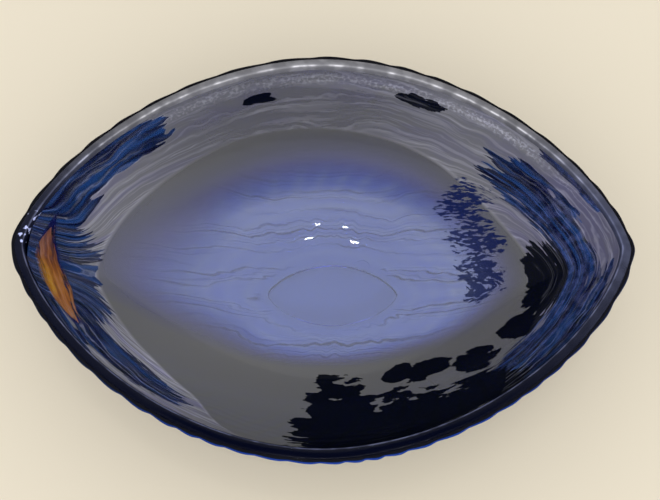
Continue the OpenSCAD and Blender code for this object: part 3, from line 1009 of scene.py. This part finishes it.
TABLE_SIZE, TABLE_TONE = 12, (0.70, 0.635, 0.512)
TABLE_GAP = 0.1 * MM    # the table lies this far under the foot, so that the two faces don't share a plane

# Ceiling lamps over the bowl, in metres, and the window's strip of light low behind the camera
DOWNLIGHTS = [(0.078, -0.349), (-0.082, -0.303), (0.084, -0.053), (-0.071, 0.011)]
DOWNLIGHT_HEIGHT, DOWNLIGHT_SIZE, DOWNLIGHT_RADIANCE = 1.6, (0.022, 0.022), 250
STRIP_PLACE, STRIP_AIM, STRIP_SIZE, STRIP_RADIANCE = (0.2, -2.2, 0.25), (0.2, 0, 0.05), (1.8, 0.22), 7

# The camera looks down at this angle, from this far off the middle of the lip
CAMERA_TILT, CAMERA_DISTANCE, CAMERA_AIM = 71, 0.641, (0.0037, -0.0015, 0.085)
CAMERA_LENS, CAMERA_SENSOR = 72.3, 36


def lay_table():
    deselect()
    bpy.ops.mesh.primitive_plane_add(size=TABLE_SIZE, location=(0, 0, -TABLE_GAP))
    table = bpy.context.object
    table.name = "table"
    finish = new_finish("table_top")
    dull = finish.node("ShaderNodeBsdfDiffuse", None, {0: (*TABLE_TONE, 1)})
    table.data.materials.append(finish.show(dull))


def hang_softbox(name, place, aim, size, radiance):
    deselect()
    bpy.ops.object.light_add(type="AREA", location=place)
    lamp = bpy.context.object
    lamp.name = name
    lamp.data.shape = "RECTANGLE"
    lamp.data.size, lamp.data.size_y = size
    lamp.data.energy = radiance * math.pi * size[0] * size[1]
    x, y, z = (p - a for p, a in zip(place, aim))
    lamp.rotation_euler = (math.atan2(math.hypot(x, y), z), 0, math.atan2(x, -y))
    return lamp


def fill_world():
    """A pale room: brighter overhead than at the horizon, and darker where the maker stands"""
    world = bpy.data.worlds.new("pale_room")
    bpy.context.scene.world = world
    room = Finish(world, "ShaderNodeOutputWorld")
    direction = room.node("ShaderNodeTexCoord", out="Generated")
    x, y, z = (room.node("ShaderNodeSeparateXYZ", None, {0: direction}, out=axis) for axis in "XYZ")
    mirrored = room.node("ShaderNodeLightPath", out="Is Glossy Ray")
    seen = room.node("ShaderNodeLightPath", out="Is Camera Ray")
    level = 0.70 + z.between(0.0, 0.8) * 0.95
    near_side = 1.4 - y.between(-0.8, 0.8) * 0.8
    low = 1.0 - z.between(0.15, 0.45)
    window_side = low * (y + x * 0.6).between(0.2, 0.8) * 0.8
    maker = z.between(0.36, 0.54) * (1.0 - z.between(0.68, 0.86)) * (y * -1.0).between(0.4, 0.7)
    skirting = (1.0 - z.between(0.02, 0.2)) * (y * -1.0 - x * 0.7).between(0.3, 0.8)
    radiance = level * (near_side + mirrored * (1.0 - near_side))
    radiance = radiance + mirrored * (window_side - level * (maker + skirting) * 0.9)
    radiance = radiance * (1.0 - seen) + seen * 0.85
    room.show(room.node("ShaderNodeBackground", None, {"Strength": radiance}))


def set_camera():
    tilt = math.radians(CAMERA_TILT)
    x, y, z = CAMERA_AIM
    bpy.ops.object.camera_add(
        location=(x, y - CAMERA_DISTANCE * math.cos(tilt), z + CAMERA_DISTANCE * math.sin(tilt)),
        rotation=(math.pi / 2 - tilt, 0, 0))
    camera = bpy.context.object
    camera.name = "camera"
    camera.data.lens, camera.data.sensor_width = CAMERA_LENS, CAMERA_SENSOR
    bpy.context.scene.camera = camera


lay_table()
for number, (x, y) in enumerate(DOWNLIGHTS):
    over, below = (x, y, DOWNLIGHT_HEIGHT), (x, y, 0)
    hang_softbox(f"downlight_{number}", over, below, DOWNLIGHT_SIZE, DOWNLIGHT_RADIANCE)
strip = hang_softbox("low_strip", STRIP_PLACE, STRIP_AIM, STRIP_SIZE, STRIP_RADIANCE)
strip.visible_camera = False
fill_world()
set_camera()

scene = bpy.context.scene
scene.view_settings.view_transform = "Standard"
scene.cycles.max_bounces = scene.cycles.transmission_bounces = 24
scene.cycles.transparent_max_bounces = 32
